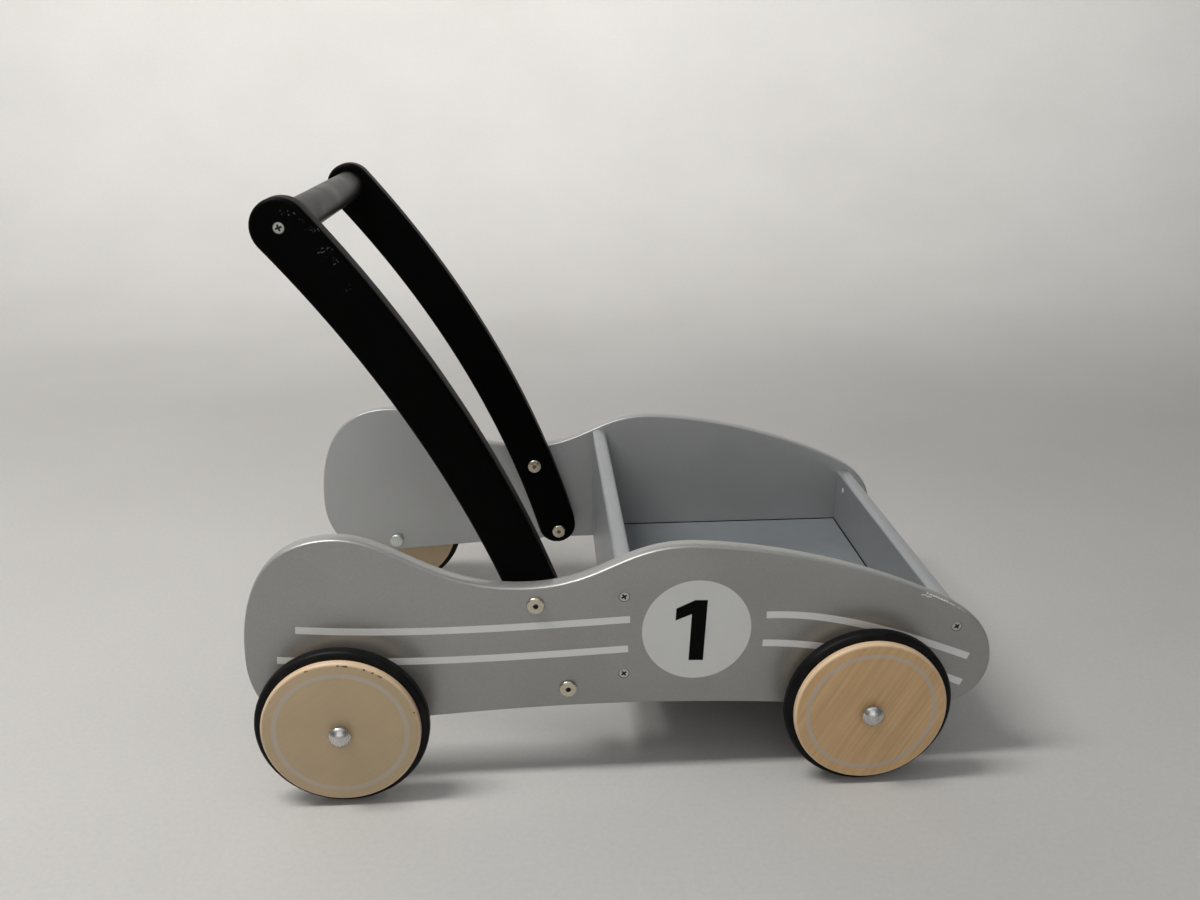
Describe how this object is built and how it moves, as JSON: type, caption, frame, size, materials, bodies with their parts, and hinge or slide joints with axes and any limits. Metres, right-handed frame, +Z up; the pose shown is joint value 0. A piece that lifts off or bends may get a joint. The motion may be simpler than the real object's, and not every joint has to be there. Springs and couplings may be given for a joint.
{
  "type": "push walker wagon",
  "caption": "Wooden push walker wagon with race-car side panels, an open cargo tray, a bowed push handle and wooden wheels with rubber tyres that spin on stub axles.",
  "frame": {"origin": "on the floor, below the middle of the whole wagon", "axes": "+X towards the nose, the way the wagon is pushed; +Y towards the wagon's left side; +Z up"},
  "size_m": [0.532, 0.3762, 0.415],
  "materials": {
    "silver_paint": "satin metallic silver paint on wood board",
    "black_paint": "satin black paint on wood",
    "plywood": "clear satin lacquer",
    "beech": "bare",
    "tyre": "matte",
    "nylon": "matte",
    "nickel": "nickel plated"
  },
  "bodies": {
    "frame": {"side_panel_right": "silver_paint", "side_panel_left": "silver_paint", "rear_board": "silver_paint", "front_board": "silver_paint", "floor_board": "silver_paint", "handle_arm_right": "black_paint", "handle_arm_left": "black_paint", "handle_bar": "black_paint", "handle_bar_screw_right": "nickel", "handle_bar_screw_left": "nickel", "panel_screw_rear_high_right": "nickel", "panel_screw_rear_high_left": "nickel", "panel_screw_rear_low_right": "nickel", "panel_screw_rear_low_left": "nickel", "panel_screw_front_right": "nickel", "panel_screw_front_left": "nickel", "front_dowel_right": "beech", "front_dowel_left": "beech", "arm_bolt_high_right": "nickel", "arm_bolt_high_left": "nickel", "arm_bolt_low_right": "nickel", "arm_bolt_low_left": "nickel", "arm_sleeve_nut_high_right": "nickel", "arm_sleeve_nut_high_left": "nickel", "arm_sleeve_nut_low_right": "nickel", "arm_sleeve_nut_low_left": "nickel", "axle_bolt_rear_right": "nickel", "axle_bolt_rear_left": "nickel", "axle_bolt_front_right": "nickel", "axle_bolt_front_left": "nickel", "wheel_spacer_rear_right": "nylon", "wheel_spacer_rear_left": "nylon", "wheel_spacer_front_right": "nylon", "wheel_spacer_front_left": "nylon", "axle_cap_nut_rear_right": "nickel", "axle_cap_nut_rear_left": "nickel", "axle_cap_nut_front_right": "nickel", "axle_cap_nut_front_left": "nickel"},
    "wheel_rear_right": {"wheel_disc_rear_right": "plywood", "tyre_rear_right": "tyre", "wheel_bush_rear_right": "nylon"},
    "wheel_rear_left": {"wheel_disc_rear_left": "plywood", "tyre_rear_left": "tyre", "wheel_bush_rear_left": "nylon"},
    "wheel_front_right": {"wheel_disc_front_right": "plywood", "tyre_front_right": "tyre", "wheel_bush_front_right": "nylon"},
    "wheel_front_left": {"wheel_disc_front_left": "plywood", "tyre_front_left": "tyre", "wheel_bush_front_left": "nylon"}
  },
  "joints": [
    {"name": "rear_right_spin", "type": "hinge", "parent": "frame", "child": "wheel_rear_right", "pos_m": [-0.199, -0.1685, 0.06], "axis": [0, 1, 0], "continuous": true},
    {"name": "rear_left_spin", "type": "hinge", "parent": "frame", "child": "wheel_rear_left", "pos_m": [-0.199, 0.1685, 0.06], "axis": [0, 1, 0], "continuous": true},
    {"name": "front_right_spin", "type": "hinge", "parent": "frame", "child": "wheel_front_right", "pos_m": [0.171, -0.1685, 0.06], "axis": [0, 1, 0], "continuous": true},
    {"name": "front_left_spin", "type": "hinge", "parent": "frame", "child": "wheel_front_left", "pos_m": [0.171, 0.1685, 0.06], "axis": [0, 1, 0], "continuous": true}
  ]
}
